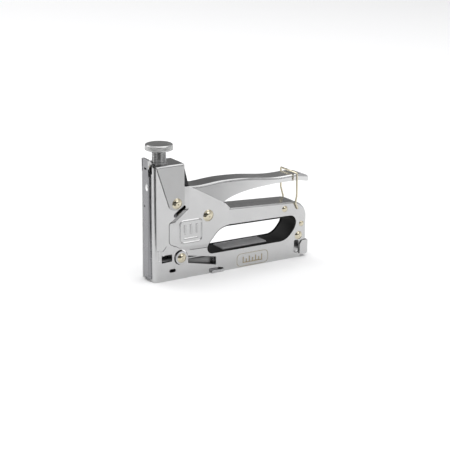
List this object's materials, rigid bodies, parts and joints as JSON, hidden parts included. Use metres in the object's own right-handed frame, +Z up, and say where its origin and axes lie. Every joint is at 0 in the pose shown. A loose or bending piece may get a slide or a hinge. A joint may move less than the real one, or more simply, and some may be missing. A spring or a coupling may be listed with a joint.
{
  "type": "staple gun",
  "caption": "Hand staple gun with a squeeze handle, pressed steel body, finger opening, tension knob, wire handle lock and rear-loading staple magazine.",
  "frame": {"origin": "staple exit at the nose: the nose's front edge, on the middle plane, at the level of the base", "axes": "+X from the nose to the rear of the grip, +Y across the body, +Z up from the base to the knob"},
  "size_m": [0.1684, 0.0304, 0.121],
  "materials": {
    "satin_steel": "satin nickel-plated pressed steel, smooth with a faint brushed grain",
    "cap_steel": "satin nickel-plated pressed steel",
    "front_steel": "plated flat steel, darker and smoother",
    "handle_steel": "bright nickel plate",
    "knob_steel": "bright plate with a knurled rim",
    "screw_steel": "plated screw thread",
    "zinc_yellow": "pale yellow zinc plate",
    "black_liner": "black moulded plastic, fine texture",
    "grey_insert": "grey ribbed plastic",
    "black_guard": "black oxide",
    "rubber": "black rubber",
    "dark_steel": "oiled hardened steel",
    "spring_steel": "drawn spring wire",
    "channel_steel": "zinc-plated folded steel",
    "staple_wire": "galvanised flat wire, glued in a strip",
    "latch_steel": "plated pressed steel"
  },
  "bodies": {
    "housing": {"left_shell": "satin_steel", "right_shell": "satin_steel", "head_cap": "cap_steel", "threaded_bush": "cap_steel", "rear_guard": "black_guard", "front_plate": "front_steel", "front_plate_pin": "zinc_yellow", "head_rivet": "zinc_yellow", "pivot_rivet": "zinc_yellow", "magazine_rivet": "zinc_yellow", "grip_rivet": "zinc_yellow", "rear_small_rivet": "zinc_yellow", "rear_large_rivet": "zinc_yellow", "pivot_washers": "dark_steel", "grip_liner": "black_liner", "liner_insert": "grey_insert", "return_spring": "spring_steel", "bumper": "rubber", "bumper_bracket": "dark_steel", "driver_guide": "dark_steel", "main_spring": "spring_steel", "magazine_channel": "channel_steel", "staple_rail": "channel_steel", "staple_strip": "staple_wire"},
    "handle": {"squeeze_handle": "handle_steel"},
    "trip": {"trip_lever": "dark_steel", "trip_pin": "dark_steel"},
    "striker": {"plunger": "dark_steel", "driver_blade": "dark_steel"},
    "seat": {"spring_seat": "dark_steel"},
    "knob": {"tension_screw": "screw_steel", "tension_knob": "knob_steel"},
    "bail": {"lock_bail": "zinc_yellow"},
    "loader": {"pusher_rod": "dark_steel", "rear_latch": "latch_steel", "pusher_spring": "spring_steel"},
    "pusher": {"pusher": "dark_steel"}
  },
  "joints": [
    {"name": "handle_squeeze", "type": "hinge", "parent": "housing", "child": "handle", "pos_m": [0.0537, 0, 0.0542], "axis": [0, 1, 0], "range_deg": [0, 9.5], "stiffness_Nm_per_rad": 4, "springref_deg": -20.05},
    {"name": "trip_slide", "type": "slide", "parent": "housing", "child": "trip", "axis": [0.7978, 0, 0.603], "range_m": [0, 0.01078]},
    {"name": "striker_slide", "type": "slide", "parent": "housing", "child": "striker", "axis": [0, 0, 1], "range_m": [0, 0.013], "deforming": ["main_spring"]},
    {"name": "seat_slide", "type": "slide", "parent": "housing", "child": "seat", "axis": [0, 0, 1], "range_m": [-0.004, 0.002]},
    {"name": "knob_turn", "type": "hinge", "parent": "seat", "child": "knob", "pos_m": [0.0118, 0, 0.1], "axis": [0, 0, 1], "range_deg": [-960.2, 480.2]},
    {"name": "bail_swing", "type": "hinge", "parent": "housing", "child": "bail", "pos_m": [0.149, 0, 0.047], "axis": [0, 1, 0], "range_deg": [0, 110]},
    {"name": "loader_slide", "type": "slide", "parent": "housing", "child": "loader", "axis": [1, 0, 0], "range_m": [0, 0.14]},
    {"name": "pusher_slide", "type": "slide", "parent": "loader", "child": "pusher", "axis": [1, 0, 0], "range_m": [0, 0.055], "stiffness_N_per_m": 60, "springref_m": -0.06, "deforming": ["pusher_spring"]}
  ],
  "couplings": [
    {"joint": "trip_slide", "follows": "handle_squeeze", "m_per_rad": 0.065009},
    {"joint": "striker_slide", "follows": "handle_squeeze", "m_per_rad": 0.078397},
    {"joint": "knob_turn", "follows": "seat_slide", "rad_per_m": 4188.8}
  ]
}
